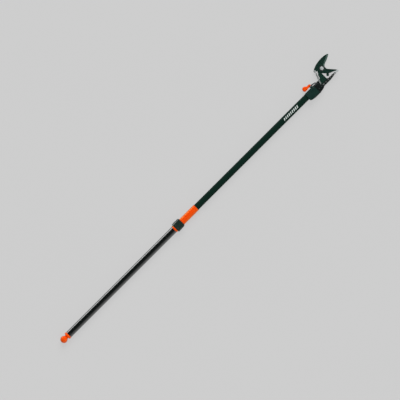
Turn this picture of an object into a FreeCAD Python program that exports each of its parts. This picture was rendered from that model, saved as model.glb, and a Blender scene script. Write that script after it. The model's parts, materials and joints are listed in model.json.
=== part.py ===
"""Telescoping pole pruner: a two-stage pole with a chain-driven bypass cutting head.

The tool lies flat. +X runs up the pole towards the head, +Y is the blade side, +Z is up.
The origin is under the middle of the clamp collar. All sizes are in millimetres.
"""
import os

import FreeCAD
import Part
from math import cos, radians, sin

# ---- driving dimensions ----------------------------------------------------------------
AXIS_Z = 18.0            # pole axis above the ground; half the thickness of collar and housing
OVAL_FLAT = 6.0          # flat width shared by every oval tube section
WALL = 1.0               # tube wall
LOWER_R = 15.0           # end radius of the lower tube's oval, so 36 wide and 30 thick
UPPER_R = 13.2           # end radius of the upper tube's oval, so 32.4 wide and 26.4 thick
SLIDE_GAP = 0.3          # clearance around the sliding upper tube

LOWER_END = -776.0       # lower tube, ball end
LOWER_TOP = -4.0         # lower tube, where it stops inside the collar
UPPER_END = -140.0       # upper tube, hidden end inside the lower tube
UPPER_TOP = 938.0        # upper tube, where it stops inside the housing

COLLAR_HALF = 22.5       # half length of the clamp collar
COLLAR_SIDE = 25.3       # collar half width at its flared end
RING_LENGTH = 9.0        # orange ring below the collar
SLEEVE_TOP = 124.0       # upper end of the grip sleeve
SLEEVE_R = 15.0          # end radius of the grip sleeve's oval
LEVER_PIN = (13.0, 22.2)  # clamp lever hinge, X and Y

BALL_R = 18.0
BALL_X = -810.5
CORD_R = 2.0
CORD_TOP = 60.0

HOUSING_X0 = 907.5       # swivel housing, lower end
SEAM_X = 968.0           # parting plane between housing and turning head
HOUSING_LEFT = 18.0
HOUSING_RIGHT = -33.0
SWIVEL_Y = -11.0         # the head turns about this line, parallel to the pole
SWIVEL_BORE = 10.3       # radius of the clear way through the swivel
SPIGOT_R = 14.2
SPIGOT_LIP = 15.8

LATCH_PIN = (957.5, 25.0)   # latch hinge, X and Y
PAWL_TIP_X = 984.0          # where the latch pawl meets the turning head
THUMB_HALF = 9.0            # half thickness of the latch lever's thumb pad

PIVOT = (1060.0, 49.0)   # blade pivot, X and Y
BLADE_T = 3.5            # blade plate, centred on the pole axis plane
JAW_FRONT = -2.05        # front face of the fixed jaw, below the blade
JAW_BACK = -6.5
LIMB_FRONT = -5.0        # the chain limb is set back to clear the chain
LIMB_BACK = -8.5
BOLT_R = 5.0             # pivot bolt shank
LEVER_TIP = (46.4, -62.5)   # chain pin on the blade's lever, from the pivot

PITCH = 15.875           # chain pitch, 5/8 inch
LINKS = 6                # chain links between lever and swivel eye
CHAIN_Y = PIVOT[1] + LEVER_TIP[1]
CHAIN_TOP = PIVOT[0] + LEVER_TIP[0]
PLATE_T = 1.5            # chain plate thickness
PLATE_R = 5.8            # end radius of a chain plate

TAIL_STUD = (-34.5, 13.6)   # spring stud on the blade's tail, from the pivot
ANCHOR = (-60.0, -52.5)     # hole for the spring's leg in the frame, from the pivot
SPRING_R = 4.0
SPRING_Z = 6.3            # the spring clears the front of the blade plate

X_AXIS = FreeCAD.Vector(1, 0, 0)
Z_AXIS = FreeCAD.Vector(0, 0, 1)


# ---- helpers ---------------------------------------------------------------------------
def at(x, y, z=0.0):
    """A point, with z measured from the pole axis."""
    return FreeCAD.Vector(x, y, AXIS_Z + z)


def head(p, z=0.0):
    """A point given from the blade pivot."""
    return at(PIVOT[0] + p[0], PIVOT[1] + p[1], z)


def extrude(points, z0, z1, origin=(0.0, 0.0)):
    """A plate between two levels. Each entry is a corner (x, y), or a list of points that
    the edge passes through smoothly on its way from the last corner."""
    def place(p):
        return at(origin[0] + p[0], origin[1] + p[1], z0)

    edges, here = [], None
    for entry in points + [points[0]]:
        run = [place(p) for p in entry] if isinstance(entry, list) else [place(entry)]
        if here is not None:
            if len(run) == 1:
                edges.append(Part.makeLine(here, run[0]))
            else:
                curve = Part.BSplineCurve()
                curve.interpolate([here] + run)
                edges.append(curve.toShape())
        here = run[-1]
    face = Part.Face(Part.Wire(edges))
    return face.extrude(FreeCAD.Vector(0, 0, z1 - z0))


def box(x0, x1, y0, y1, z0, z1):
    return Part.makeBox(x1 - x0, y1 - y0, z1 - z0, at(x0, y0, z0))


def rod_x(r, x0, x1, y=0.0, z=0.0):
    return Part.makeCylinder(r, x1 - x0, at(x0, y, z), X_AXIS)


def rod_z(r, x, y, z0, z1):
    return Part.makeCylinder(r, z1 - z0, at(x, y, z0), Z_AXIS)


def oval(r, x0, x1, flat=OVAL_FLAT):
    """A solid oval bar on the pole axis: two round ends of radius r, a flat between."""
    half = flat / 2.0
    a, b = at(x0, half, r), at(x0, -half, r)
    c, d = at(x0, -half, -r), at(x0, half, -r)
    edges = [
        Part.makeLine(a, b),
        Part.Arc(b, at(x0, -half - r, 0), c).toShape(),
        Part.makeLine(c, d),
        Part.Arc(d, at(x0, half + r, 0), a).toShape(),
    ]
    return Part.Face(Part.Wire(edges)).extrude(FreeCAD.Vector(x1 - x0, 0, 0))


def rounded_bar(y0, y1, half_z, radius, x0, x1):
    """A bar along X with a rounded rectangular section."""
    core = box(x0, x1, y0, y1, -half_z, half_z)
    along = [e for e in core.Edges if abs(e.BoundBox.XLength - (x1 - x0)) < 1e-6]
    return core.makeFillet(radius, along)


def slot_plate(r, x0, x1, y, z0, z1):
    """A chain plate: two round ends joined by straight sides, drawn in at the waist."""
    plate = rod_z(r, x0, y, z0, z1).fuse(rod_z(r, x1, y, z0, z1))
    return plate.fuse(box(x0, x1, y - r * 0.74, y + r * 0.74, z0, z1)).removeSplitter()


def save(name, shape):
    if shape.ShapeType != "Compound":
        shape = shape.removeSplitter()
    shape.exportStep("parts/%s.step" % name)
    return shape


def screw(name, x, y, z_face, depth, r=2.9, shank=1.6):
    """A pan-head screw put in from the front, with a cross recess."""
    body = rod_z(r, x, y, z_face - 0.9, z_face + 0.5).fuse(
        rod_z(shank, x, y, z_face - depth, z_face - 0.9))
    for cut in (box(x - 1.8, x + 1.8, y - 0.4, y + 0.4, z_face - 0.5, z_face + 1.0),
                box(x - 0.4, x + 0.4, y - 1.8, y + 1.8, z_face - 0.5, z_face + 1.0)):
        body = body.cut(cut)
    return save(name, body)


def screw_seat(x, y, z_face, depth, r=2.9, shank=1.6):
    """The counterbored hole such a screw sits in."""
    return rod_z(r, x, y, z_face - 0.9, z_face + 12.0).fuse(
        rod_z(shank, x, y, z_face - depth, z_face - 0.9))


# ---- lower pole --------------------------------------------------------------------------
def build_lower_pole():
    bore = oval(LOWER_R - WALL, LOWER_END - 1, LOWER_TOP + 1)
    tube = oval(LOWER_R, LOWER_END, LOWER_TOP).cut(bore)
    rivet_holes = rod_z(1.6, LOWER_END + 10, 0, -LOWER_R - 2, LOWER_R + 2)
    save("lower_tube", tube.cut(rivet_holes))

    ring = oval(LOWER_R + 1.6, -COLLAR_HALF - RING_LENGTH, -COLLAR_HALF)
    ring = ring.cut(oval(LOWER_R, -COLLAR_HALF - RING_LENGTH - 1, -COLLAR_HALF + 1))
    save("collar_ring", ring)

    build_collar()
    build_sleeve()
    build_end_plug()


def collar_blank():
    """Flared shell: flush with the sleeve at the top, wide at the bottom."""
    half = COLLAR_HALF
    top = SLEEVE_R + OVAL_FLAT / 2 + 0.6
    plan = extrude([
        (half, -top),
        [(half - 4, -top - 3.4), (half - 11, -top - 5.3), (0.0, -COLLAR_SIDE + 0.9),
         (-half * 0.6, -COLLAR_SIDE), (-half, -COLLAR_SIDE)],
        (-half, COLLAR_SIDE - 6.0),
        (5.5, COLLAR_SIDE - 6.0),
        (6.5, COLLAR_SIDE),
        (17.5, COLLAR_SIDE),
        (half, top),
    ], -AXIS_Z, AXIS_Z)
    return plan.common(rounded_bar(-COLLAR_SIDE, COLLAR_SIDE, AXIS_Z, 13.0, -half, half))


def build_collar():
    px, py = LEVER_PIN
    gap_bore = oval(UPPER_R + SLIDE_GAP, LOWER_TOP, COLLAR_HALF + 1)
    collar = collar_blank()
    collar = collar.cut(oval(LOWER_R, -COLLAR_HALF - 1, LOWER_TOP)).cut(gap_bore)
    collar = collar.cut(oval(SLEEVE_R, COLLAR_HALF - 6.5, COLLAR_HALF + 1))
    # room for the cam between the two ears, and the window for the pressure shoe
    collar = collar.cut(rod_z(6.4, px, py, -7.2, 7.2))
    collar = collar.cut(box(px - 13.5, px, 17.6, COLLAR_SIDE + 1, -7.2, 7.2))
    collar = collar.cut(box(px - 5.0, px + 3.0, 12.0, py, -5.0, 5.0))
    collar = collar.cut(rod_z(2.2, px, py, -AXIS_Z, AXIS_Z))
    seats = [(-12.0, -9.0), (-12.0, 9.0)]
    for x, y in seats:
        collar = collar.cut(screw_seat(x, y, 17.4, 2.35))
    save("clamp_collar", collar)
    for tag, (x, y) in zip("ab", seats):
        screw("collar_screw_" + tag, x, y, 17.4, 2.35)

    shoe = box(px - 5.0, px + 3.0, 14.0, 17.3, -5.0, 5.0)
    shoe = shoe.cut(oval(UPPER_R + SLIDE_GAP, 0, 30))
    save("clamp_shoe", shoe)
    save("clamp_pin", rod_z(2.2, px, py, -11.4, 11.4))

    # cam lever: knuckle between the ears, then a broad thumb plate lying along the collar
    knuckle = rod_z(4.6, px, py, -6.8, 6.8)
    arm = box(px - 11.0, px, py - 2.4, py + 3.0, -6.8, 6.8)
    plate = extrude([
        (px - 9.4, py - 2.2),
        (px - 9.4, py + 3.6),
        [(px - 16.0, py + 4.6), (px - 26.0, py + 4.0), (px - 36.0, py + 3.2)],
        (px - 37.0, py + 1.2),
        (px - 36.0, py - 1.9),
    ], -13.5, 13.5)
    plate = plate.common(rounded_bar(-10, py + 6, 13.5, 5.0, px - 38, px))
    lever = knuckle.fuse(arm).fuse(plate).cut(rod_z(2.25, px, py, -20, 20))
    save("clamp_lever", lever)


def build_sleeve():
    start = COLLAR_HALF - 6.5
    sleeve = oval(SLEEVE_R, start, SLEEVE_TOP)
    sleeve = sleeve.cut(oval(UPPER_R + SLIDE_GAP, start - 1, SLEEVE_TOP + 1))
    # the shoe presses on the tube just below the sleeve, so its side is relieved there
    sleeve = sleeve.cut(box(start - 1, LEVER_PIN[0] + 3.2, 12.0, 20.0, -5.2, 5.2))
    save("grip_sleeve", sleeve)
    wiper = oval(SLEEVE_R - 0.15, SLEEVE_TOP, SLEEVE_TOP + 3.0)
    save("wiper_ring", wiper.cut(oval(UPPER_R + SLIDE_GAP, SLEEVE_TOP - 1, SLEEVE_TOP + 4)))


def build_end_plug():
    rim = oval(LOWER_R + 0.7, LOWER_END - 12.0, LOWER_END)
    plug = rim.fuse(oval(LOWER_R - WALL, LOWER_END, LOWER_END + 20.0))
    plug = plug.cut(rod_x(CORD_R + 0.6, LOWER_END - 13, LOWER_END + 21))
    for side in (1, -1):
        z0, z1 = sorted((side * 7.0, side * (LOWER_R + 2)))
        plug = plug.cut(rod_z(1.6, LOWER_END + 10, 0, z0, z1))
    save("end_plug", plug)
    for tag, side in (("front", 1), ("back", -1)):
        z0, z1 = sorted((side * 7.0, side * LOWER_R))
        h0, h1 = sorted((side * LOWER_R, side * (LOWER_R + 0.9)))
        save("plug_rivet_" + tag, rod_z(1.6, LOWER_END + 10, 0, z0, z1).fuse(
            rod_z(2.8, LOWER_END + 10, 0, h0, h1)))


# ---- pull ball and its cord ----------------------------------------------------------------
def build_pull():
    ball = Part.makeSphere(BALL_R, at(BALL_X, 0))
    neck_end = LOWER_END - 12.6
    ball = ball.fuse(rod_x(9.5, BALL_X, neck_end))
    ball = ball.cut(rod_x(CORD_R, BALL_X - 10.0, neck_end + 1))
    ball = ball.cut(rod_x(4.2, BALL_X - BALL_R - 1, BALL_X - 10.0))
    save("pull_ball", ball)
    save("pull_cord", rod_x(CORD_R, BALL_X - 10.0, CORD_TOP))
    knot_end = BALL_X - BALL_R + 1.2
    save("cord_stop", rod_x(4.2, knot_end, BALL_X - 10.0))
    ferrule = rod_x(3.0, CORD_TOP - 8.0, CORD_TOP + 2.0).cut(rod_x(CORD_R, CORD_TOP - 9, CORD_TOP))
    save("cord_ferrule", ferrule)


# ---- upper pole ------------------------------------------------------------------------------
def build_upper_pole():
    tube = oval(UPPER_R, UPPER_END, UPPER_TOP)
    tube = tube.cut(oval(UPPER_R - WALL, UPPER_END - 1, UPPER_TOP + 1))
    tube = tube.cut(rod_x(SWIVEL_BORE, HOUSING_X0 + 0.5, UPPER_TOP + 1, SWIVEL_Y))
    tube = tube.cut(rod_z(1.6, HOUSING_X0 + 14, 9.0, -20, 20))
    save("upper_tube", tube)
    for tag, x0 in (("stop", -37.0), ("guide", UPPER_END)):
        bush = oval(LOWER_R - WALL - 0.2, x0, x0 + 28.0)
        save(tag + "_bush", bush.cut(oval(UPPER_R, x0 - 1, x0 + 29.0)))


def housing_blank():
    plan = extrude([
        (SEAM_X, HOUSING_LEFT),
        (HOUSING_X0 + 8.0, HOUSING_LEFT),
        [(HOUSING_X0 + 3.0, HOUSING_LEFT - 0.5), (HOUSING_X0, HOUSING_LEFT - 1.2)],
        (HOUSING_X0, -20.0),
        [(HOUSING_X0 + 1.0, -24.0), (HOUSING_X0 + 5.0, -27.4), (HOUSING_X0 + 14.0, -30.2),
         (HOUSING_X0 + 27.0, -32.4), (SEAM_X - 22.0, HOUSING_RIGHT)],
        (SEAM_X, HOUSING_RIGHT),
    ], -AXIS_Z, AXIS_Z)
    return plan.common(rounded_bar(HOUSING_RIGHT, HOUSING_LEFT, AXIS_Z, 14.0, HOUSING_X0, SEAM_X))


def build_housing():
    ear_z = 5.2
    px, py = LATCH_PIN
    ears = extrude([
        (px - 9.0, HOUSING_LEFT - 3.0),
        (px - 6.0, py + 1.0),
        [(px - 3.0, py + 4.0), (px + 1.5, py + 4.0), (px + 4.6, py + 0.5)],
        (px + 7.0, HOUSING_LEFT - 3.0),
    ], -8.6, 8.6).cut(box(px - 12, px + 12, HOUSING_LEFT, py + 10, -ear_z, ear_z))
    shell = housing_blank().fuse(ears)
    shell = shell.cut(oval(UPPER_R, HOUSING_X0 - 1, UPPER_TOP))
    shell = shell.cut(rod_x(SWIVEL_BORE, HOUSING_X0 + 0.5, SEAM_X + 1, SWIVEL_Y))
    shell = shell.cut(rod_x(SPIGOT_R + 0.4, SEAM_X - 18.0, SEAM_X + 1, SWIVEL_Y))
    shell = shell.cut(rod_x(SPIGOT_LIP + 0.4, SEAM_X - 20.4, SEAM_X - 15.2, SWIVEL_Y))
    shell = shell.cut(rod_z(2.0, px, py, -20, 20))
    seats = [(HOUSING_X0 + 14.0, 9.0), (SEAM_X - 26.0, -28.0), (SEAM_X - 8.0, 11.5)]
    for x, y in seats:
        shell = shell.cut(screw_seat(x, y, 16.2 if y > 0 else 13.2, 26.0))
    room = box(HOUSING_X0 - 5, SEAM_X + 5, -60, 60, 0, 40)
    save("housing_front", shell.common(room))
    save("housing_back", shell.cut(room))
    for tag, (x, y) in zip("abc", seats):
        screw("housing_screw_" + tag, x, y, 16.2 if y > 0 else 13.2, 26.0)
    save("latch_pin", rod_z(2.0, px, py, -8.6, 8.6))


def build_latch():
    """Orange thumb lever on a cross pin, with a steel pawl that reaches the turning head."""
    px, py = LATCH_PIN
    lever = extrude([
        (px + 4.0, py - 1.5),
        [(px + 5.0, py + 4.0), (px + 2.0, py + 10.5), (px - 5.0, py + 13.5),
         (px - 13.0, py + 12.6), (px - 19.5, py + 15.5), (px - 25.0, py + 20.6),
         (px - 33.0, py + 22.4), (px - 40.5, py + 19.0), (px - 44.0, py + 11.5),
         (px - 42.5, py + 3.5), (px - 36.0, py - 1.2)],
        (px - 26.0, py - 1.6),
        (px - 16.0, py + 1.0),
        (px - 7.0, py - 1.0),
    ], -4.9, 4.9)
    thumb = extrude([
        (px - 20.5, py + 3.0),
        [(px - 19.0, py + 11.0), (px - 24.0, py + 19.0), (px - 33.0, py + 21.0),
         (px - 41.0, py + 16.0), (px - 42.5, py + 8.0), (px - 38.0, py + 1.5)],
        (px - 28.0, py + 0.2),
    ], -THUMB_HALF, THUMB_HALF)
    rim = [e for e in thumb.Edges if abs(abs(e.CenterOfMass.z - AXIS_Z) - THUMB_HALF) < 0.01]
    thumb = thumb.makeFillet(4.2, rim)
    pawl = extrude([
        (px - 12.0, py + 1.4),
        (px - 11.0, py + 5.4),
        (px + 4.0, py + 4.4),
        (px + 20.0, py + 0.8),
        (PAWL_TIP_X + 4.4, py - 2.6),
        (PAWL_TIP_X + 2.4, py - 9.6),
        (PAWL_TIP_X - 1.6, py - 9.6),
        (PAWL_TIP_X - 2.2, py - 4.8),
        (px + 16.0, py - 4.0),
        (px + 3.0, py - 3.0),
    ], -2.0, 2.0)
    lever = lever.fuse(thumb).cut(pawl)
    hole = rod_z(2.06, px, py, -20, 20)
    save("latch_lever", lever.cut(hole))
    save("latch_pawl", pawl.cut(hole))


# ---- drive strap inside the upper tube -------------------------------------------------------
def build_strap():
    clip_top = SEAM_X + 16.0
    save("strap_clip", box(clip_top - 26.0, clip_top - 4.0, SWIVEL_Y - 1.6, SWIVEL_Y + 1.6, -4.5, 4.5)
         .cut(box(clip_top - 27.0, clip_top - 12.0, SWIVEL_Y - 0.6, SWIVEL_Y + 0.6, -4.6, 4.6))
         .fuse(rod_x(3.0, clip_top - 4.0, clip_top, SWIVEL_Y)))
    grip_x0, grip_x1 = 0.0, 30.0
    save("drive_strap", box(grip_x1 - 12.0, clip_top - 12.0, SWIVEL_Y - 0.6, SWIVEL_Y + 0.6, -4.4, 4.4))
    gripper = box(grip_x0, grip_x1, SWIVEL_Y - 1.4, 4.6, -4.6, 4.6)
    gripper = gripper.cut(rod_x(CORD_R + 0.4, grip_x0 - 1, grip_x1 + 1))
    gripper = gripper.cut(box(grip_x1 - 12.0, grip_x1 + 1, SWIVEL_Y - 0.6, SWIVEL_Y + 0.6, -4.4, 4.4))
    save("cord_gripper", gripper)


# ---- turning head -----------------------------------------------------------------------------
def frame_plate():
    """Fixed jaw, neck and chain limb in one steel plate, stepped to clear the chain."""
    px = PIVOT
    jaw = extrude([
        (15.8, 2.0),
        (15.8, -17.0),
        [(17.4, -20.2), (20.0, -23.6)],
        (45.0, -52.0),
        [(46.0, -54.2), (44.2, -55.4), (40.0, -54.8)],
        (17.5, -47.3),
        (9.5, -43.4),
        (4.5, -43.8),
        (-2.0, -37.0),
        (-1.6, -34.2),
        (-14.2, -20.5),
        [(-16.8, -18.6), (-17.8, -22.5)],
        (-17.8, -48.0),
        [(-17.0, -52.6), (-13.0, -55.5)],
        (-63.0, -55.5),
        (-61.0, -31.0),
        (-47.0, -30.0),
        [(-43.4, -28.8), (-39.5, -21.5), (-33.0, -8.0)],
        (-25.0, 5.5),
        [(-17.0, 13.5), (-4.0, 16.6), (9.0, 12.5)],
    ], JAW_BACK, JAW_FRONT, px)
    lobe = rod_z(7.0, px[0] - 1.4, px[1] - 43.8, JAW_BACK, JAW_FRONT)
    limb = extrude([
        (14.0, -59.0),
        [(17.6, -62.5), (16.5, -67.0), (12.0, -69.4)],
        (0.0, -70.6),
        (-12.0, -71.8),
        (-40.0, -71.8),
        [(-52.0, -72.2), (-64.0, -75.0)],
        (-78.0, -76.0),
        (-78.0, -37.0),
        (-62.0, -33.5),
        (-44.0, -37.0),
        (-25.0, -46.0),
        (-19.0, -54.0),
        [(-13.0, -56.3), (-4.0, -57.6)],
    ], LIMB_BACK, LIMB_FRONT, px)
    plate = jaw.fuse(lobe).fuse(limb)
    return plate.cut(rod_z(BOLT_R, px[0], px[1], -20, 20))


def base_blank():
    plan = extrude([
        (SEAM_X + 0.4, 18.0),
        (SEAM_X + 30.0, 18.8),
        [(SEAM_X + 33.0, 18.0), (SEAM_X + 33.6, 15.4)],
        (SEAM_X + 27.0, -3.0),
        [(SEAM_X + 28.5, -5.6), (SEAM_X + 32.0, -6.4)],
        (SEAM_X + 36.0, -6.6),
        (SEAM_X + 37.5, -21.0),
        [(SEAM_X + 36.0, -24.2), (SEAM_X + 31.0, -26.6), (SEAM_X + 23.0, -29.0),
         (SEAM_X + 12.0, -31.0), (SEAM_X + 5.0, -32.0)],
        (SEAM_X + 4.0, -33.4),
        (SEAM_X + 0.4, -33.4),
    ], -AXIS_Z, AXIS_Z)
    side = Part.Face(Part.makePolygon([
        at(SEAM_X + 0.4, -50, AXIS_Z), at(SEAM_X + 12.0, -50, AXIS_Z - 1.0),
        at(SEAM_X + 40.0, -50, 10.0), at(SEAM_X + 40.0, -50, -13.5),
        at(SEAM_X + 12.0, -50, -AXIS_Z + 1.0), at(SEAM_X + 0.4, -50, -AXIS_Z),
        at(SEAM_X + 0.4, -50, AXIS_Z)]))
    plan = plan.common(side.extrude(FreeCAD.Vector(0, 100, 0)))
    round_off = rod_x(HOUSING_LEFT - SWIVEL_Y + 1.0, SEAM_X, SEAM_X + 60, SWIVEL_Y)
    corners = rounded_bar(-33.4, 18.9, AXIS_Z, 13.0, SEAM_X, SEAM_X + 60)
    return plan.common(round_off).common(corners)


def build_head():
    plate = frame_plate()
    anchor = head(ANCHOR)
    plate = plate.cut(rod_z(0.9, anchor.x, anchor.y, -20, 20))
    screws = [(SEAM_X + 24.0, 10.0, 12.4), (SEAM_X + 22.0, -25.0, 11.0)]
    for x, y, z in screws:
        plate = plate.cut(rod_z(1.6, x, y, -20, 20))
    save("head_frame", plate)

    ring = rod_x(SPIGOT_R, SEAM_X - 20.0, SEAM_X + 12.0, SWIVEL_Y).fuse(
        rod_x(SPIGOT_LIP, SEAM_X - 20.0, SEAM_X - 15.6, SWIVEL_Y))
    ring = ring.cut(rod_x(SWIVEL_BORE, SEAM_X - 21, SEAM_X + 13, SWIVEL_Y))
    save("swivel_ring", ring)

    base = base_blank()
    base = base.cut(rod_x(SPIGOT_R, SEAM_X, SEAM_X + 12.0, SWIVEL_Y))
    base = base.cut(box(SEAM_X + 11.0, SEAM_X + 60, CHAIN_Y - 6.6, CHAIN_Y + 8.4, LIMB_FRONT, 5.4))
    base = base.cut(rod_x(SWIVEL_BORE, SEAM_X, SEAM_X + 14.0, SWIVEL_Y))
    groove = rod_x(60.0, PAWL_TIP_X - 3.0, PAWL_TIP_X + 4.6, SWIVEL_Y).cut(
        rod_x(LATCH_PIN[1] - 10.3 - SWIVEL_Y, PAWL_TIP_X - 4, PAWL_TIP_X + 6, SWIVEL_Y))
    base = base.cut(groove).cut(plate)
    for x, y, z in screws:
        base = base.cut(screw_seat(x, y, z, 20.0))
    covers = [(SEAM_X + 11.4, -14.0, 15.8), (SEAM_X + 27.3, -14.0, 11.8)]
    for x, y, z in covers:
        base = base.cut(screw_seat(x, y, z, 1.6))
    split = box(SEAM_X - 5, SEAM_X + 60, -60, 60, LIMB_FRONT, 40)
    save("base_front", base.common(split))
    save("base_back", base.cut(split))
    for tag, (x, y, z) in zip("ab", screws):
        screw("base_screw_" + tag, x, y, z, 20.0)
    for tag, (x, y, z) in zip("ab", covers):
        screw("cover_screw_" + tag, x, y, z, 1.6)
    build_pivot()
    build_spring()


def build_pivot():
    x, y = PIVOT
    washer = rod_z(13.6, x, y, 2.05, 3.2).cut(rod_z(BOLT_R, x, y, 0, 5))
    save("pivot_washer", washer)
    dome = Part.makeSphere(17.0, at(x, y, 8.2 - 17.0))
    hexagon = Part.Face(Part.makePolygon([
        at(x + 9.4 * cos(radians(60 * k)), y + 9.4 * sin(radians(60 * k)), 3.2)
        for k in range(7)])).extrude(FreeCAD.Vector(0, 0, 6))
    cap = hexagon.common(dome).common(rod_z(8.9, x, y, 3.2, 10))
    bolt = cap.fuse(rod_z(BOLT_R, x, y, JAW_BACK - 6.4, 3.2))
    save("pivot_bolt", bolt)
    nut = Part.Face(Part.makePolygon([
        at(x + 9.2 * cos(radians(60 * k)), y + 9.2 * sin(radians(60 * k)), JAW_BACK - 5.4)
        for k in range(7)])).extrude(FreeCAD.Vector(0, 0, 5.4))
    save("pivot_nut", nut.cut(rod_z(BOLT_R, x, y, -20, 0)))


def build_spring():
    start, end = head(TAIL_STUD, SPRING_Z), head(ANCHOR, SPRING_Z)
    way = end.sub(start).normalize()
    length = end.distanceToPoint(start)
    wire = 0.6
    coil0, coil1 = 10.8, length + 1.2

    def along(d):
        return start.add(FreeCAD.Vector(way).multiply(d))

    coil = Part.makeCylinder(SPRING_R, coil1 - coil0, along(coil0), way)
    coil = coil.cut(Part.makeCylinder(SPRING_R - 1.1, coil1 - coil0 - 2, along(coil0 + 1), way))
    # an eye round the tail stud, and a leg bent down into the frame plate
    coil = coil.fuse(Part.makeCylinder(wire, coil0 + 1 - 3.3, along(3.3), way))
    coil = coil.fuse(Part.makeTorus(3.3, wire, start, Z_AXIS))
    coil = coil.fuse(rod_z(wire, end.x, end.y, LIMB_BACK + 0.5, SPRING_Z - SPRING_R + 0.9))
    save("return_spring", coil)


# ---- cutting blade with its lever ----------------------------------------------------------------
def build_blade():
    half = BLADE_T / 2
    px, py = PIVOT
    blade = extrude([
        (18.5, -1.0),
        [(26.0, 5.2), (40.0, 10.4), (56.0, 17.2), (69.0, 24.2)],
        [(72.4, 26.6), (72.4, 30.0), (69.6, 32.0)],
        [(55.0, 36.3), (30.0, 38.2), (0.0, 35.0), (-27.5, 25.8), (-37.5, 19.3)],
        [(-41.0, 14.2), (-38.2, 8.6)],
        (-27.0, 6.4),
        (-24.0, 4.6),
        (-17.5, -8.0),
        (-12.5, -18.5),
        (-3.0, -32.0),
        (10.0, -42.0),
        (28.0, -51.0),
        (40.6, -57.6),
        [(40.2, -64.5), (45.0, -68.9), (51.4, -66.8), (52.6, -60.6), (48.6, -56.6)],
        (18.5, -22.6),
        [(15.6, -19.4), (14.8, -15.0)],
        (14.8, -6.0),
    ], -half, half, PIVOT)
    # ground bevel along the inner edge, on the front face
    run = [(17.0, -4.0), (34.0, 6.2), (51.0, 12.8), (74.0, 25.6)]
    for a, b in zip(run, run[1:]):
        blade = blade.cut(bevel_wedge(a, b, half))
    blade = blade.cut(rod_z(BOLT_R + 0.06, px, py, -5, 5))
    tail = head(TAIL_STUD)
    blade = blade.cut(rod_z(2.5, tail.x, tail.y, -5, 5))
    tip = head(LEVER_TIP)
    blade = blade.cut(rod_z(3.6, tip.x, tip.y, -5, 5))
    save("cutting_blade", blade)
    save("tail_stud", rod_z(2.5, tail.x, tail.y, -half, 7.6).fuse(
        rod_z(3.9, tail.x, tail.y, 7.6, 8.6)))
    save("lever_bush", rod_z(3.6, tip.x, tip.y, -half, half).cut(
        rod_z(2.1, tip.x, tip.y, -half - 1, half + 1)))


def bevel_wedge(a, b, half):
    """A long wedge that grinds the front face down along the edge from a to b."""
    p, q = head(a), head(b)
    way = q.sub(p).normalize()
    inward = FreeCAD.Vector(-way.y, way.x, 0)
    width, drop = 9.5, 2.2
    top = AXIS_Z + half + 0.5
    low = FreeCAD.Vector(p.x, p.y, AXIS_Z + half - drop)
    back = FreeCAD.Vector(p.x, p.y, AXIS_Z + half).add(FreeCAD.Vector(inward).multiply(width))
    lift = FreeCAD.Vector(back.x, back.y, top)
    outer = FreeCAD.Vector(p.x, p.y, 0).add(FreeCAD.Vector(inward).multiply(-12.0))
    outer_low = FreeCAD.Vector(outer.x, outer.y, low.z - 2.2)
    outer_top = FreeCAD.Vector(outer.x, outer.y, top)
    face = Part.Face(Part.makePolygon([low, back, lift, outer_top, outer_low, low]))
    return face.extrude(q.sub(p))


# ---- drive chain -----------------------------------------------------------------------------------
def build_chain():
    outer0 = BLADE_T / 2 + 0.4
    inner0 = outer0 - 0.1 - PLATE_T
    pins = [CHAIN_TOP - PITCH * k for k in range(LINKS + 1)]
    holes = None
    for x in pins[1:]:
        hole = rod_z(2.0, x, CHAIN_Y, -10, 10)
        holes = hole if holes is None else holes.fuse(hole)
    for k in range(LINKS):
        outside = k % 2 == 0
        z0 = outer0 if outside else inner0
        pair = []
        for lo, hi, cap in ((z0, z0 + PLATE_T, (0.0, 0.7)), (-z0 - PLATE_T, -z0, (-0.7, 0.0))):
            plate = slot_plate(PLATE_R, pins[k + 1], pins[k], CHAIN_Y, lo, hi).cut(holes)
            if k == 0:
                face = hi if lo > 0 else lo
                plate = plate.fuse(rod_z(4.2, pins[0], CHAIN_Y, face + cap[0], face + cap[1]))
            pair.append(plate)
        name = "top_link" if k == 0 else "%s_link_%d" % ("outer" if outside else "inner", k)
        save(name, Part.makeCompound(pair))
    reach = outer0 + PLATE_T + 0.7
    for k, x in enumerate(pins[1:], 1):
        pin = rod_z(2.0, x, CHAIN_Y, -reach, reach)
        for z0, z1 in ((reach - 0.65, reach), (-reach, -reach + 0.65)):
            pin = pin.fuse(rod_z(3.0 if k > 1 else 3.8, x, CHAIN_Y, z0, z1))
        save("chain_pin_%d" % k, pin)
    # the swivel eye forks round the last link and ends in a round shank on the swivel line
    last = pins[-1]
    root = last - PLATE_R - 0.4
    fork = slot_plate(4.6, root + 1.0, last, CHAIN_Y, -outer0 - PLATE_T, outer0 + PLATE_T)
    fork = fork.cut(box(root, last + 9, CHAIN_Y - 9, CHAIN_Y + 9, -outer0, outer0))
    fork = fork.common(box(root - 0.2, last + 9, CHAIN_Y - 9, CHAIN_Y + 9, -9, 9))
    block = box(root - 3.8, root, CHAIN_Y - 0.1, SWIVEL_Y + 2.6, -outer0 - PLATE_T, outer0 + PLATE_T)
    eye = fork.fuse(block).fuse(rod_x(3.0, SEAM_X + 17.0, root - 3.8, SWIVEL_Y))
    save("swivel_eye", eye.cut(rod_z(2.0, last, CHAIN_Y, -10, 10)))


def main():
    os.makedirs("parts", exist_ok=True)
    build_lower_pole()
    build_pull()
    build_upper_pole()
    build_housing()
    build_latch()
    build_strap()
    build_head()
    build_blade()
    build_chain()


main()
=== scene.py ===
"""Looks of the telescoping pole pruner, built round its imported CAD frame. Lengths are in metres."""

import json
import math

import bmesh
import bpy
from mathutils import Matrix, Vector
from mathutils.bvhtree import BVHTree


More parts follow.
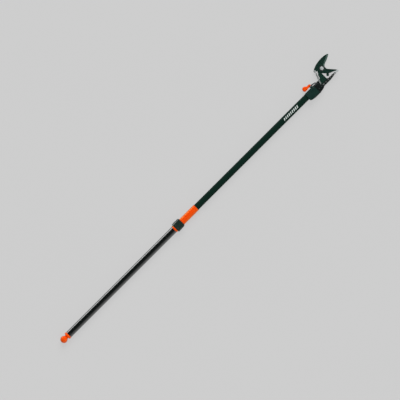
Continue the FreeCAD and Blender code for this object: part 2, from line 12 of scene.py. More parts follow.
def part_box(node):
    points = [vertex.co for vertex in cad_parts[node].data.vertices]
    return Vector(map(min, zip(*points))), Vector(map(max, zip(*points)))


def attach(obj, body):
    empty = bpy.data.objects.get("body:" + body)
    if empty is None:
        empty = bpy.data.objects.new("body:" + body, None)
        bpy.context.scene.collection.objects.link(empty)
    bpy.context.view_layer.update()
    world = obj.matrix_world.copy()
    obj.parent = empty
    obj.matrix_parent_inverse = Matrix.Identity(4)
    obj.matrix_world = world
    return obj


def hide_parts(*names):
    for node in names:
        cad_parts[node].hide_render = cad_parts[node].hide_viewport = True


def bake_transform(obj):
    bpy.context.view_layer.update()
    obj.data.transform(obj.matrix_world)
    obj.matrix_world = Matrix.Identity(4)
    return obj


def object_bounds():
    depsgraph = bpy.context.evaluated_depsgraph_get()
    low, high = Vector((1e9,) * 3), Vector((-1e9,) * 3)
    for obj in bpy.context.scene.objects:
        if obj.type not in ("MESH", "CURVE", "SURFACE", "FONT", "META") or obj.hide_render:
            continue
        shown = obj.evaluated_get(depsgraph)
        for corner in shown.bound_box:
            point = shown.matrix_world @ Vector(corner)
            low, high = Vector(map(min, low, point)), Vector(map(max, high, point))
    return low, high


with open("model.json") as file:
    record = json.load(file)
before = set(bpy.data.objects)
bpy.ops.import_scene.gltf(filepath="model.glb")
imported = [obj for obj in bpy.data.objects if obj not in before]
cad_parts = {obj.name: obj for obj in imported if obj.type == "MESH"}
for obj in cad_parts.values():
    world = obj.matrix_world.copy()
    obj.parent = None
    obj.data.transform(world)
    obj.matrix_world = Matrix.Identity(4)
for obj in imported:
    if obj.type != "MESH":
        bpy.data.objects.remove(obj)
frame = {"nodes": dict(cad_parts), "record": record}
CAD_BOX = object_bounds()
NODES = frame["nodes"]
MM = 0.001
Y_AXIS, Z_AXIS = Vector((0, 1, 0)), Vector((0, 0, 1))


# ---- material graphs ---------------------------------------------------------------------
def paint(r, g, b):
    """A linear colour from 8-bit screen values."""
    return tuple(((c / 255 + 0.055) / 1.055) ** 2.4 for c in (r, g, b))


class Finish:
    """A material being made: its node tree, and short calls for what the finishes share."""

    def __init__(self, name, colour, roughness, metallic=0.0, **sockets):
        self.material = bpy.data.materials.new(name)
        self.material.use_nodes = True
        self.tree = self.material.node_tree
        self.shader = self.tree.nodes["Principled BSDF"]
        self.colour = colour
        self.relief = None
        plain = {"Base Color": (*colour, 1.0), "Roughness": roughness, "Metallic": metallic}
        plain.update({key.replace("_", " "): value for key, value in sockets.items()})
        for socket, value in plain.items():
            self.shader.inputs[socket].default_value = value
        self.here = self.add("ShaderNodeTexCoord").outputs["Object"]

    def add(self, kind, values=None, **settings):
        """A new node, with its inputs set or linked by name or number."""
        node = self.tree.nodes.new(kind)
        for key, value in settings.items():
            setattr(node, key, value)
        for socket, value in (values or {}).items():
            self.join(value, node.inputs[socket])
        return node

    def join(self, value, socket):
        if isinstance(value, bpy.types.NodeSocket):
            self.tree.links.new(value, socket)
        else:
            socket.default_value = value

    def maths(self, operation, a, b=0.0):
        return self.add("ShaderNodeMath", {0: a, 1: b}, operation=operation).outputs[0]

    def axis(self, letter, place=None):
        """One coordinate of the piece's own place, or of another vector."""
        return self.add("ShaderNodeSeparateXYZ", {0: place or self.here}).outputs[letter]

    def noise(self, size, stretch=(1, 1, 1), detail=3.0):
        """Soft blotches of that size, 0 to 1, drawn out by stretch along each axis."""
        scale = [1 / (size * s) for s in stretch]
        place = self.add("ShaderNodeVectorMath", {0: self.here, 1: scale}, operation="MULTIPLY")
        values = {"Vector": place.outputs[0], "Scale": 1.0, "Detail": detail}
        return self.add("ShaderNodeTexNoise", values).outputs["Fac"]

    def spread(self, value, low, high, start=0.3, stop=0.7):
        """The stretch from start to stop of a value, laid over low to high."""
        inputs = {"Value": value, "From Min": start, "From Max": stop,
                  "To Min": low, "To Max": high}
        return self.add("ShaderNodeMapRange", inputs).outputs["Result"]

    def shade(self, factor, colour):
        """Goes over to another colour where factor is 1."""
        socket = self.shader.inputs["Base Color"]
        under = socket.links[0].from_socket if socket.is_linked else (*self.colour, 1.0)
        inputs = {"Fac": factor, "Color1": under, "Color2": (*colour, 1.0)}
        self.join(self.add("ShaderNodeMixRGB", inputs).outputs["Color"], socket)

    def rough(self, factor, low, high):
        self.join(self.spread(factor, low, high), self.shader.inputs["Roughness"])

    def bump(self, height, depth):
        """Relief of that depth, on top of any relief so far."""
        node = self.add("ShaderNodeBump", {"Height": height, "Strength": 1.0, "Distance": depth})
        if self.relief:
            self.join(self.relief, node.inputs["Normal"])
        self.relief = node.outputs["Normal"]
        self.join(self.relief, self.shader.inputs["Normal"])

    def edges(self, radius):
        """1 along the edges and 0 on flats: how far a rounded normal leans from the plain one."""
        edge, flat = 0.78, 0.985    # cosines of a lean of 39 and 10 degrees
        rounded = self.add("ShaderNodeBevel", {"Radius": radius}, samples=6).outputs["Normal"]
        plain = self.add("ShaderNodeNewGeometry").outputs["Normal"]
        pair = self.add("ShaderNodeVectorMath", {0: rounded, 1: plain}, operation="DOT_PRODUCT")
        return self.spread(pair.outputs["Value"], 1.0, 0.0, start=edge, stop=flat)

    def worn(self, radius, size, colour, amount=1.0):
        """Edges rubbed through to another colour, in patches."""
        patch = self.spread(self.noise(size, detail=5.0), 0.0, amount, start=0.42, stop=0.6)
        self.shade(self.maths("MULTIPLY", self.edges(radius), patch), colour)


# ---- finishes ----------------------------------------------------------------------------
def lacquer_black():
    """Deep gloss tube: faint drawn-out streaks and a few rubbed scuffs."""
    f = Finish("lacquer_black", paint(12, 17, 16), 0.2,
               Coat_Weight=1.0, Coat_Roughness=0.06, Coat_IOR=1.75)
    f.rough(f.noise(1.5 * MM, stretch=(60, 1, 1)), 0.14, 0.28)
    scuffs = f.noise(3 * MM, stretch=(30, 1, 1), detail=6.0)
    f.shade(f.spread(scuffs, 0, 0.35, start=0.6, stop=0.75), paint(30, 36, 36))
    f.bump(f.noise(1.6 * MM, stretch=(80, 1, 1)), 0.003 * MM)
    return f.material


def satin_green():
    """Satin painted glass-fibre tube with a fine grain along its length."""
    f = Finish("satin_green", paint(13, 35, 28), 0.55, Specular_IOR_Level=0.05)
    f.shade(f.spread(f.noise(0.7 * MM, stretch=(50, 1, 1)), 0, 0.6), paint(18, 42, 34))
    f.shade(f.spread(f.noise(40 * MM, stretch=(3, 1, 1)), 0, 0.35), paint(11, 29, 23))
    f.rough(f.noise(2 * MM, stretch=(20, 1, 1)), 0.46, 0.6)
    f.bump(f.noise(0.5 * MM, stretch=(60, 1, 1)), 0.006 * MM)
    return f.material


def moulded(name, colour, light, roughness, depth=0.012 * MM, **sockets):
    """Injection moulded plastic: spark-eroded grain, flow marks and a painted highlight that makes
    the edges slightly lighter.
    """
    f = Finish(name, colour, roughness, **sockets)
    f.shade(f.spread(f.noise(18 * MM, stretch=(2, 1, 1)), 0, 0.25), light)
    # painted highlight: every edge is shaded part way to the lighter colour
    f.shade(f.maths("MULTIPLY", f.edges(0.5 * MM), 0.45), light)
    f.rough(f.noise(4 * MM), roughness - 0.05, roughness + 0.07)
    f.bump(f.noise(0.45 * MM, detail=2.0), depth)
    return f.material


def rubber():
    """Soft black rubber with a dusty bloom."""
    f = Finish("rubber", paint(24, 23, 22), 0.75, Sheen_Weight=0.15, Sheen_Roughness=0.5)
    f.shade(f.spread(f.noise(2 * MM), 0, 0.5), paint(34, 32, 30))
    f.bump(f.noise(0.3 * MM), 0.02 * MM)
    return f.material


def powder_coat():
    """Powder-coated plate: fine orange peel, worn to primer in spots along its edges."""
    f = Finish("powder_coat", paint(15, 43, 34), 0.36, Specular_IOR_Level=0.4)
    f.shade(f.spread(f.noise(14 * MM), 0, 0.5), paint(21, 52, 43))
    f.rough(f.noise(3 * MM), 0.3, 0.44)
    f.bump(f.noise(0.9 * MM, detail=1.0), 0.02 * MM)
    f.worn(0.35 * MM, 5 * MM, paint(70, 92, 84), amount=0.8)
    return f.material


def blade_coat():
    """Low-friction coating, ground through along the bevel: faces that lean off the plate."""
    f = Finish("blade_coat", paint(14, 38, 31), 0.3, Specular_IOR_Level=0.5)
    f.shade(f.spread(f.noise(16 * MM), 0, 0.5), paint(20, 48, 40))
    upright = f.axis("Z", f.add("ShaderNodeTexCoord").outputs["Normal"])
    # the bevel's normal points up less than the face's and more than a side's
    side, face = 0.5, 0.998
    bevel = f.maths("MULTIPLY", f.maths("GREATER_THAN", upright, side),
                    f.maths("LESS_THAN", upright, face))
    strokes = f.noise(0.35 * MM, stretch=(1, 30, 1))
    f.shade(f.maths("MULTIPLY", bevel, f.spread(strokes, 0.75, 1.0)), paint(74, 96, 88))
    f.rough(f.noise(2.5 * MM), 0.26, 0.4)
    f.bump(f.maths("MULTIPLY", bevel, strokes), 0.01 * MM)
    f.worn(0.3 * MM, 4 * MM, paint(120, 132, 128), amount=0.9)
    return f.material


def steel(name, colour, roughness, dirt, metallic=0.6):
    """Plated or plain steel, a little dull: fine grain, uneven sheen and grime in patches."""
    f = Finish(name, colour, roughness, metallic)
    f.shade(f.spread(f.noise(3 * MM, detail=6.0), 0, 0.55, start=0.5, stop=0.8), dirt)
    f.rough(f.noise(0.8 * MM, detail=5.0), roughness - 0.08, roughness + 0.14)
    f.bump(f.noise(0.25 * MM), 0.005 * MM)
    return f.material


def webbing():
    """Plain-woven strap: warp and weft ribs crossing at right angles."""
    f = Finish("webbing", paint(52, 54, 55), 0.85, Sheen_Weight=0.3)
    warp_pitch, weft_pitch = 1.1 * MM, 1.6 * MM
    warp = f.maths("SINE", f.maths("MULTIPLY", f.axis("Z"), math.tau / warp_pitch))
    weft = f.maths("SINE", f.maths("MULTIPLY", f.axis("X"), math.tau / weft_pitch))
    weave = f.maths("MULTIPLY", warp, weft)
    f.shade(f.spread(weave, 0, 0.7, start=-1, stop=1), paint(84, 86, 86))
    f.bump(weave, 0.12 * MM)
    return f.material


def nylon():
    """Twisted cord: fine fibres along each strand."""
    f = Finish("nylon", paint(58, 58, 56), 0.6, Sheen_Weight=0.2)
    f.shade(f.spread(f.noise(0.3 * MM, stretch=(8, 1, 1)), 0, 0.8), paint(104, 103, 98))
    f.bump(f.noise(0.25 * MM, stretch=(10, 1, 1)), 0.05 * MM)
    return f.material


def print_white():
    """Pad-printed ink, thin enough to show a little of the tube's grain."""
    f = Finish("print_white", paint(206, 214, 210), 0.5)
    grain = f.noise(0.6 * MM, stretch=(30, 1, 1), detail=4.0)
    f.shade(f.spread(grain, 0, 0.4), paint(160, 176, 170))
    f.bump(f.noise(0.5 * MM, stretch=(30, 1, 1)), 0.004 * MM)
    return f.material


def floor_paper():
    """Pale backlit paper: part of its light comes from below, so that shadows on it are faint."""
    f = Finish("floor_paper", (0.125, 0.125, 0.125), 0.9, Specular_IOR_Level=0.0,
               Emission_Color=(1, 1, 1, 1), Emission_Strength=0.485)
    f.shade(f.spread(f.noise(0.6), 0, 1), (0.122, 0.122, 0.122))
    return f.material


# by the record's slot, and then those of single pieces
FINISHES = {
    "gloss_black": lacquer_black(),
    "pole_green": satin_green(),
    "orange": moulded(
        "orange_plastic", paint(234, 70, 1), light=paint(250, 100, 12), roughness=0.34,
        depth=0.006 * MM, Specular_IOR_Level=0.9, Specular_Tint=(1.0, 0.75, 0.2, 1.0)),
    "black_plastic": moulded(
        "black_plastic", paint(8, 14, 14), light=paint(34, 44, 42), roughness=0.5,
        Specular_IOR_Level=0.3),
    "housing_green": moulded(
        "housing_plastic", paint(19, 41, 37), light=paint(44, 66, 60), roughness=0.55,
        Specular_IOR_Level=0.06),
    "rubber_black": rubber(),
    "frame_green": powder_coat(),
    "blade_coat": blade_coat(),
    "zinc": steel("zinc_plate", paint(214, 220, 220), 0.34, dirt=paint(150, 155, 152),
                  metallic=0.45),
    "dark_steel": steel("dark_steel", paint(84, 88, 88), 0.38, dirt=paint(40, 40, 38)),
    "chain_black": steel("chain_black", paint(50, 53, 52), 0.42, dirt=paint(20, 21, 20)),
    "bronze": steel("bronze", paint(176, 138, 84), 0.42, dirt=paint(96, 70, 40)),
    "strap_web": webbing(),
    "cord": nylon(),
    "grip_orange": moulded(
        "grip_plastic", paint(234, 60, 1), light=paint(248, 90, 8), roughness=0.34,
        depth=0.006 * MM, Specular_IOR_Level=1.0, Specular_Tint=(1.0, 0.75, 0.1, 1.0),
        Sheen_Weight=0.5, Sheen_Roughness=0.5, Sheen_Tint=(1.0, 0.6, 0.08, 1.0)),
    "collar_plastic": moulded(
        "collar_plastic", paint(18, 36, 29), light=paint(46, 62, 54), roughness=0.5),
    "lever_plastic": moulded(
        "lever_plastic", paint(84, 90, 86), light=paint(120, 126, 120), roughness=0.42),
    "spring_steel": steel("spring_steel", paint(178, 184, 182), 0.3, dirt=paint(120, 126, 124)),
    "pin_steel": steel("pin_steel", paint(134, 140, 138), 0.34, dirt=paint(70, 76, 74),
                       metallic=0.7),
    "print_white": print_white(),
    "floor_paper": floor_paper(),
}

# CAD nodes that are shown with another finish than their slot's
OWN_FINISH = {
    "clamp_collar": "collar_plastic", "clamp_lever": "lever_plastic", "swivel_eye": "pin_steel",
    "plug_rivet_front": "chain_black", "plug_rivet_back": "chain_black",
}
OWN_FINISH.update({"chain_pin_%d" % k: "pin_steel" for k in range(1, 7)})

# millimetres, for the CAD nodes whose edges catch light
EDGE_RADIUS = {
    "clamp_collar": 0.7, "clamp_lever": 0.6, "housing_front": 0.6, "housing_back": 0.6,
    "base_front": 0.5, "base_back": 0.5, "latch_lever": 0.5, "latch_pawl": 0.2,
    "head_frame": 0.35, "cutting_blade": 0.15, "pivot_bolt": 0.3, "pivot_nut": 0.3,
    "pivot_washer": 0.15,
}
LINK_EDGE_RADIUS = 0.2


# ---- mesh helpers ------------------------------------------------------------------------
def centre(node):
    lo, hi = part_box(node)
    return (lo + hi) / 2


def oval_of(node):
    """An oval node's radius, flat width and ends: (r, flat, x0, x1)."""
    lo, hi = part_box(node)
    height, width = hi.z - lo.z, hi.y - lo.y
    return height / 2, width - height, lo.x, hi.x


def dress(obj, finish):
    """Gives a piece one finish."""
    obj.data.materials.clear()
    obj.data.materials.append(FINISHES[finish])
    return obj


def show(name, mesh, finish, sharp):
    """An object from a mesh, shaded smooth but for edges sharper than that many degrees."""
    mesh.polygons.foreach_set("use_smooth", [True] * len(mesh.polygons))
    mesh.set_sharp_from_angle(angle=math.radians(sharp))
    obj = bpy.data.objects.new(name, mesh)
    bpy.context.scene.collection.objects.link(obj)
    return dress(obj, finish)


def settle(name, bm, finish, sharp=40):
    """Turns a bmesh into an object."""
    bmesh.ops.recalc_face_normals(bm, faces=bm.faces)
    mesh = bpy.data.meshes.new(name)
    bm.to_mesh(mesh)
    bm.free()
    return show(name, mesh, finish, sharp)


def install(obj, body, slot, *replaced):
    """Puts a finished piece on its body, in place of the CAD nodes it stands for."""
    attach(obj, body)
    if replaced:
        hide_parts(*replaced)


def fillet(corners, radius, steps=4):
    """A closed outline of (x, r) with each corner rounded, by its own third number or radius."""
    share = 0.49    # of each side at most, so that neighbouring roundings don't meet
    outline = []
    for k, corner in enumerate(corners):
        p = Vector((*corner[:2], 0))
        before = Vector((*corners[k - 1][:2], 0)) - p
        after = Vector((*corners[(k + 1) % len(corners)][:2], 0)) - p
        reach = corner[2] if len(corner) > 2 else radius
        reach = min(reach, before.length * share, after.length * share)
        a, b = p + before.normalized() * reach, p + after.normalized() * reach
        for step in range(steps + 1):
            t = step / steps
            point = a * (1 - t) ** 2 + p * 2 * t * (1 - t) + b * t ** 2
            outline.append((point.x, point.y))
    return outline


def turn(bm, outline, axis_z, flat=0.0, sides=96):
    """Sweeps a closed (x, radius) outline round an X axis, on an oval whose flats are that wide."""
    rings = []
    for x, r in outline:
        ring = []
        for k in range(sides):
            angle = math.tau * (k + 0.5) / sides
            shift = math.copysign(flat / 2, math.cos(angle))
            place = (x, shift + r * math.cos(angle), axis_z + r * math.sin(angle))
            ring.append(bm.verts.new(place))
        rings.append(ring)
    for ring, following in zip(rings, rings[1:] + rings[:1]):
        for k in range(sides):
            after = (k + 1) % sides
            bm.faces.new((ring[k], ring[after], following[after], following[k]))
    bmesh.ops.remove_doubles(bm, verts=bm.verts, dist=1e-7)


def block(bm, middle, size, radius, spin=None):
    """A bar with rounded edges, added to a bmesh."""
    made = bmesh.ops.create_cube(bm, size=1.0)["verts"]
    spin = spin or Matrix.Identity(4)
    place = Matrix.Translation(middle) @ spin @ Matrix.Diagonal((*size, 1))
    bmesh.ops.transform(bm, matrix=place, verts=made)
    edges = list({e for v in made for e in v.link_edges})
    bmesh.ops.bevel(bm, geom=edges, offset=radius, segments=3, profile=0.5, affect="EDGES")


def wire(name, points, radius, finish):
    """A round wire along a smooth line through control points, as a mesh."""
    curve = bpy.data.curves.new(name + "_line", "CURVE")
    curve.dimensions = "3D"
    curve.bevel_depth = radius
    curve.bevel_resolution = 2
    curve.use_fill_caps = True
    curve.resolution_u = 1
    spline = curve.splines.new("NURBS")
    spline.points.add(len(points) - 1)
    for control, point in zip(spline.points, points):
        control.co = (*point, 1.0)
    spline.order_u = 3
    spline.use_endpoint_u = True
    line = bpy.data.objects.new(name + "_line", curve)
    bpy.context.scene.collection.objects.link(line)
    bpy.context.view_layer.update()
    evaluated = line.evaluated_get(bpy.context.evaluated_depsgraph_get())
    mesh = bpy.data.meshes.new_from_object(evaluated)
    bpy.data.objects.remove(line)
    mesh.name = name
    return show(name, mesh, finish, sharp=50)


# ---- carried-over CAD nodes --------------------------------------------------------------
def carry_over():
    """Every CAD node takes its finish, and the edges that catch light are rounded."""
    slot_of = {row["node"]: row["material_slot"] for row in frame["record"]["subparts"]}
    for name, obj in NODES.items():
        dress(obj, OWN_FINISH.get(name, slot_of[name]))
        radius = LINK_EDGE_RADIUS if "link" in name else EDGE_RADIUS.get(name)
        if radius:
            soften(obj, radius * MM)


def soften(obj, radius):
    """Joins the split facets, clears flat areas of their triangles and rounds the edges."""
    weld = obj.modifiers.new("weld", "WELD")
    weld.merge_threshold = 0.001 * MM
    flat = obj.modifiers.new("flat", "DECIMATE")
    flat.decimate_type = "DISSOLVE"
    flat.angle_limit = math.radians(0.5)
    edge = obj.modifiers.new("edge", "BEVEL")
    edge.width = radius
    edge.segments = 3
    edge.limit_method = "ANGLE"
    edge.angle_limit = math.radians(35)
    edge.use_clamp_overlap = True
    edge.miter_outer = "MITER_ARC"
    obj.modifiers.new("shade", "WEIGHTED_NORMAL").keep_sharp = True


# ---- pole fittings -----------------------------------------------------------------------
def collar_ring():
    """Ring under the clamp collar, with a shallow groove round its middle."""
    r, flat, x0, x1 = oval_of("collar_ring")
    inner = oval_of("lower_tube")[0] + 0.05 * MM
    low = r - 0.5 * MM
    middle, groove_top, groove_foot = (x0 + x1) / 2, 1.1 * MM, 0.7 * MM
    outline = fillet([
        (x0, inner, 0.2 * MM), (x0, low, 0.5 * MM), (x0 + 1.5 * MM, r, 1.2 * MM),
        (middle - groove_top, r, 0.4 * MM), (middle - groove_foot, low, 0.3 * MM),
        (middle + groove_foot, low, 0.3 * MM), (middle + groove_top, r, 0.4 * MM),
        (x1, r, 0.3 * MM), (x1, inner, 0.2 * MM),
    ], 0.5 * MM)
    bm = bmesh.new()
    turn(bm, outline, centre("lower_tube").z, flat)
    obj = settle("collar_ring_moulding", bm, "grip_orange")
    install(obj, "lower_pole", "orange", "collar_ring")


def grip_sleeve():
    """Moulded sleeve with a rolled end, two shallow rings near each end and a parting line."""
    r, flat, x0, x1 = oval_of("grip_sleeve")
    z = centre("upper_tube").z
    inner = oval_of("upper_tube")[0] + 0.35 * MM
    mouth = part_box("clamp_collar")[1].x    # the sleeve is hidden up to here
    ring_half, ring_low = 0.9 * MM, r - 0.35 * MM
    corners = [(x0, inner, 0.2 * MM), (x0, r, 0.3 * MM)]
    for x in (mouth + 5 * MM, mouth + 9 * MM, x1 - 10 * MM, x1 - 6 * MM):
        corners += [(x - ring_half, r, 0.4 * MM), (x, ring_low, 0.6 * MM),
                    (x + ring_half, r, 0.4 * MM)]
    corners += [(x1, r, 1.4 * MM), (x1, inner, 0.2 * MM)]
    bm = bmesh.new()
    turn(bm, fillet(corners, 0.4 * MM), z, flat)
    parting_line = (x1 - mouth - 3 * MM, 0.3 * MM, 0.5 * MM)
    for side in (1, -1):
        middle = Vector(((mouth + x1) / 2, side * (r + flat / 2), z))
        block(bm, middle, parting_line, 0.12 * MM)
    obj = settle("grip_sleeve_moulding", bm, "grip_orange")
    install(obj, "lower_pole", "orange", "grip_sleeve")


def wiper_ring():
    """Soft lip that closes the sleeve's end on the upper tube."""
    r, flat, x0, x1 = oval_of("wiper_ring")
    inner = oval_of("upper_tube")[0] + 0.15 * MM
    outline = fillet([
        (x0, inner + 0.2 * MM), (x0, r), (x1 - 1.2 * MM, r - 0.1 * MM),
        (x1, inner + 0.6 * MM), (x1, inner),
    ], 0.4 * MM)
    bm = bmesh.new()
    turn(bm, outline, centre("upper_tube").z, flat)
    install(settle("wiper_lip", bm, "rubber_black"), "lower_pole", "rubber_black", "wiper_ring")


def end_plug():
    """Rimmed plug whose spigot sits in the lower tube, with an eyelet for the cord."""
    r, flat, x0, x1 = oval_of("end_plug")
    z = centre("lower_tube").z
    rim_end = oval_of("lower_tube")[2]
    spigot = oval_of("lower_tube")[0] - 1.2 * MM
    low = r - 0.6 * MM
    bore = 2.6 * MM
    hole, shoulder = bore + 4 * MM, bore + 5 * MM
    rim = fillet([
        (x0, hole, 1.0 * MM), (x0, low, 2.4 * MM), (x0 + 3.5 * MM, r, 1.0 * MM),
        (rim_end - 2.2 * MM, r, 0.5 * MM), (rim_end - 1.6 * MM, low, 0.3 * MM),
        (rim_end, low, 0.2 * MM), (rim_end, spigot, 0.2 * MM),
        (x1, spigot, 0.8 * MM), (x1, hole, 0.5 * MM),
    ], 0.5 * MM)
    lip, seat = x0 - 0.3 * MM, x0 + 3 * MM
    eyelet = fillet([
        (lip, bore), (lip, bore + 2 * MM), (x0 + 0.8 * MM, shoulder),
        (seat, shoulder), (seat, bore),
    ], 0.5 * MM)
    bm = bmesh.new()
    turn(bm, rim, z, flat)
    turn(bm, eyelet, z, sides=48)
    install(settle("end_plug_moulding", bm, "orange"), "lower_pole", "orange", "end_plug")


def pull_ball():
    """Round pull with a soft neck, a parting seam and a recess for the cord's knot."""
    lo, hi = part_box("pull_ball")
    r = (hi.z - lo.z) / 2
    middle = lo.x + r
    neck, hole = 9.5 * MM, 2.1 * MM
    mouth, well = 4.2 * MM, 3.7 * MM
    well_end = middle - 10 * MM
    outline = [(hi.x, hole), (hi.x, neck - 1.2 * MM), (hi.x - 0.5 * MM, neck - 0.35 * MM),
               (hi.x - 1.4 * MM, neck)]
    # the round part, from a little past the neck to the recess, with the seam's groove let in
    start = math.asin(neck / r) + math.radians(9)
    stop = math.pi - math.asin(mouth / r)
    steps, seam_half, seam_depth = 44, 0.5 * MM, 0.3 * MM
    angles = [start + (stop - start) * k / steps for k in range(steps + 1)]
    arc = [(middle + r * math.cos(a), r * math.sin(a)) for a in angles]
    arc = [point for point in arc if abs(point[0] - middle) > 1.2 * seam_half]
    brink = math.sqrt(r ** 2 - seam_half ** 2)
    arc += [(middle + seam_half, brink), (middle, r - seam_depth), (middle - seam_half, brink)]
    outline += sorted(arc, reverse=True)
    mouth_x = middle + r * math.cos(stop)
    outline += [(mouth_x + 1.2 * MM, well), (well_end, well), (well_end, hole)]
    bm = bmesh.new()
    turn(bm, outline, (lo.z + hi.z) / 2)
    obj = settle("pull_ball_moulding", bm, "orange", sharp=50)
    install(obj, "pull_ball", "orange", "pull_ball")


def pull_cord():
    """Three laid strands."""
    lo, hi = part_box("pull_cord")
    r = (hi.z - lo.z) / 2
    y, z = centre("pull_cord").yz
    strands, lay, per_turn = 3, 13 * MM, 8
    strand_r = 0.4692 * r    # a little over the 0.464 at which three strands just touch
    orbit = r - strand_r
    count = int((hi.x - lo.x) / lay * per_turn)
    bm = bmesh.new()
    for k in range(strands):
        points = []
        for step in range(count + 1):
            x = lo.x + (hi.x - lo.x) * step / count
            angle = math.tau * ((x - lo.x) / lay + k / strands)
            points.append((x, y + orbit * math.cos(angle), z + orbit * math.sin(angle)))
        strand = wire("strand", points, strand_r, "cord")
        bm.from_mesh(strand.data)
        bpy.data.objects.remove(strand)
    install(settle("pull_cord_laid", bm, "cord", sharp=60), "pull_ball", "cord", "pull_cord")


def printed_bars():
    """A generic printed mark on the upper tube: slanted ticks that shorten towards one end."""
    r, flat = oval_of("upper_tube")[:2]
    z = centre("upper_tube").z
    first, pitch, stroke, slant, count = 745 * MM, 11.2 * MM, 5.6 * MM, 3.0 * MM, 9
    shortest, growth = 5.6 * MM, 0.15 * MM    # half a tick's width across the tube
    lift, skin, across = 0.02 * MM, 0.06 * MM, 10
    bm = bmesh.new()
    for k in range(count):
        half = shortest + growth * k
        grid = []
        for i in range(across + 1):
            y = -half + 2 * half * i / across
            start = first + pitch * k + slant * y / half
            over = max(abs(y) - flat / 2, 0.0)
            lean = math.asin(min(over / r, 1.0))
            row = []
            for x in (start, start + stroke):
                for radius in (r + lift, r + lift + skin):
                    side = math.copysign(flat / 2 + radius * math.sin(lean), y) if over else y
                    row.append(bm.verts.new((x, side, z + radius * math.cos(lean))))
            grid.append(row)
        for a, b in zip(grid, grid[1:]):
            for i, j in ((0, 1), (1, 3), (3, 2), (2, 0)):
                bm.faces.new((a[i], a[j], b[j], b[i]))
        for row in (grid[0], grid[-1]):
            bm.faces.new((row[0], row[1], row[3], row[2]))
    install(settle("printed_bars", bm, "print_white"), "upper_pole", "pole_green")


# ---- ridges ------------------------------------------------------------------------------
def lever_ridges():
    """Thumb ridges across the end of the clamp lever."""
    lo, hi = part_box("clamp_lever")
    z = (lo.z + hi.z) / 2
    ridge = (1.3 * MM, 1.2 * MM, 19 * MM)
    first, pitch = 3.2 * MM, 3.0 * MM
    depth, rise = 1.62 * MM, 0.34 * MM    # the lever's face comes out that much per ridge
    bm = bmesh.new()
    for k in range(5):
        x = lo.x + first + pitch * k
        y = hi.y - depth + rise * k
        block(bm, (x, y, z), ridge, 0.4 * MM)
    install(settle("lever_ridges", bm, "lever_plastic"), "clamp_lever", "black_plastic")


def latch_ridges():
    """Thumb ridges across the outer side of the latch pad, each square to the surface."""
    lever = NODES["latch_lever"].data
    skin = BVHTree.FromPolygons([v.co for v in lever.vertices],
                                [tuple(p.vertices) for p in lever.polygons])
    lo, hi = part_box("latch_lever")
    z = (lo.z + hi.z) / 2
    ridge = (1.3 * MM, 1.1 * MM, 8.2 * MM)
    first, pitch, clear = 9.0 * MM, 2.9 * MM, 20 * MM
    bm = bmesh.new()
    for k in range(7):
        outside = Vector((lo.x + first + pitch * k, hi.y + clear, z))
        place, normal = skin.ray_cast(outside, -Y_AXIS)[:2]
        spin = Matrix.Rotation(math.atan2(normal.y, normal.x) - math.pi / 2, 4, "Z")
        block(bm, place, ridge, 0.4 * MM, spin)
    install(settle("latch_ridges", bm, "orange"), "latch", "orange")


# ---- return spring -----------------------------------------------------------------------
def return_spring():
    """Close-wound coil, an eye round the tail stud and a leg down into the plate."""
    lo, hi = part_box("return_spring")
    points = [v.co for v in NODES["return_spring"].data.vertices]
    stud = centre("tail_stud")
    near_stud = [p.z for p in points if (p.xy - stud.xy).length < 4.5 * MM]
    eye_z = (min(near_stud) + max(near_stud)) / 2
    tip = [p for p in points if p.z < lo.z + 0.5 * MM]
    leg = sum(tip, Vector()) / len(tip)

    wire_r, eye, lead = 0.6 * MM, 3.3 * MM, 10.8 * MM
    coil_r = hi.z - eye_z - wire_r
    z = hi.z - coil_r - wire_r
    start, end = Vector((stud.x, stud.y, z)), Vector((leg.x, leg.y, z))
    way = (end - start).normalized()
    side = Z_AXIS.cross(way)

    line = []
    eye_steps = 14
    for k in range(eye_steps + 1):
        angle = math.radians(-20 + 335 * k / eye_steps)
        line.append(start + eye * (math.sin(angle) * side + math.cos(angle) * way))
    line += [start + way * (eye + 1.2 * MM), start + way * (lead - 2.5 * MM)]
    length = (end - start).length + 1.2 * MM - lead
    pitch, per_turn = 1.26 * MM, 14
    count = int(length / pitch) * per_turn
    for k in range(count + 1):
        angle = math.tau * k / per_turn
        line.append(start + way * (lead + length * k / count)
                    + coil_r * (math.sin(angle) * side + math.cos(angle) * Z_AXIS))
    foot = z - coil_r
    line += [Vector((end.x, end.y, foot)) + way * 0.4 * MM,
             Vector((end.x, end.y, foot - 1.5 * MM)), Vector((end.x, end.y, lo.z))]
    obj = wire("return_spring_coil", line, wire_r, "spring_steel")
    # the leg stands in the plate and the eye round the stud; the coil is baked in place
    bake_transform(obj)
    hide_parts("return_spring")


# ---- floor, light and camera -------------------------------------------------------------
def sun(name, direction, strength, spread, diffuse=True, glossy=True):
    """A broad, soft, far light shining from a direction, spread over that many degrees."""
    lamp = bpy.data.lights.new(name, "SUN")
    lamp.energy = strength
    lamp.angle = math.radians(spread)
    obj = bpy.data.objects.new(name, lamp)
    obj.rotation_euler = Vector(direction).to_track_quat("Z", "Y").to_euler()
    obj.visible_diffuse, obj.visible_glossy = diffuse, glossy
    bpy.context.scene.collection.objects.link(obj)


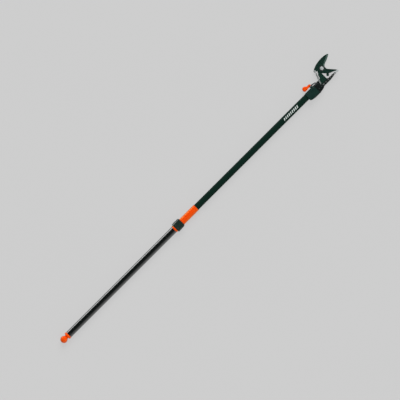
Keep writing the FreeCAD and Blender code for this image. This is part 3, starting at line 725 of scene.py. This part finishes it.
def sky():
    """Studio shell: dark straight above, mid grey low down, dimly lit on the chain's side."""
    world = bpy.data.worlds.new("studio")
    world.use_nodes = True
    bpy.context.scene.world = world
    tree = world.node_tree
    shell = tree.nodes["Background"]
    shell.inputs["Color"].default_value = (1, 1, 1, 1)
    way = tree.nodes.new("ShaderNodeSeparateXYZ")
    tree.links.new(tree.nodes.new("ShaderNodeTexCoord").outputs["Generated"], way.inputs[0])
    total = tree.nodes.new("ShaderNodeMath")
    upwards, chain_side = ("Z", 0.1, 0.7, 0.3, 0.0), ("Y", -0.15, -0.8, 0.02, 0.5)
    for k, (axis, *ends) in enumerate((upwards, chain_side)):
        fade = tree.nodes.new("ShaderNodeMapRange")
        tree.links.new(way.outputs[axis], fade.inputs["Value"])
        for socket, value in zip(("From Min", "From Max", "To Min", "To Max"), ends):
            fade.inputs[socket].default_value = value
        tree.links.new(fade.outputs["Result"], total.inputs[k])
    tree.links.new(total.outputs[0], shell.inputs["Strength"])


def ground():
    """The sheet of paper just under the tool. It lights nothing but itself."""
    reach = 30
    bm = bmesh.new()
    bmesh.ops.create_grid(bm, x_segments=8, y_segments=8, size=reach)
    floor = settle("floor", bm, "floor_paper")
    floor.location.z = CAD_BOX[0].z - 0.1 * MM
    floor.visible_diffuse = False


def camera():
    """Looks straight down from afar, turned so that the pole lies slantwise in the frame."""
    distance, frame_width, sensor = 12.0, 2.0, 36.0
    aim = Vector((0.164, 0.013, centre("upper_tube").z))
    lens = bpy.data.cameras.new("camera")
    lens.sensor_width = sensor
    lens.lens = sensor * distance / frame_width
    lens.clip_end = 100
    obj = bpy.data.objects.new("camera", lens)
    obj.location = aim + Vector((0, 0, distance))
    obj.rotation_euler.z = -math.radians(44.94)
    bpy.context.scene.collection.objects.link(obj)
    bpy.context.scene.camera = obj
    bpy.context.scene.view_settings.view_transform = "Standard"


def studio():
    ground()
    sky()
    sun("overhead", (0, 0, 1), strength=1.3, spread=40, glossy=False)
    sun("key", (0.8, 0.6, 0.75), strength=2.4, spread=40, glossy=False)
    sun("side_softbox", (0.05, 1.0, 0.15), strength=1.3, spread=35, diffuse=False)
    camera()


def main():
    carry_over()
    collar_ring()
    grip_sleeve()
    wiper_ring()
    end_plug()
    pull_ball()
    pull_cord()
    printed_bars()
    lever_ridges()
    latch_ridges()
    return_spring()
    studio()


main()
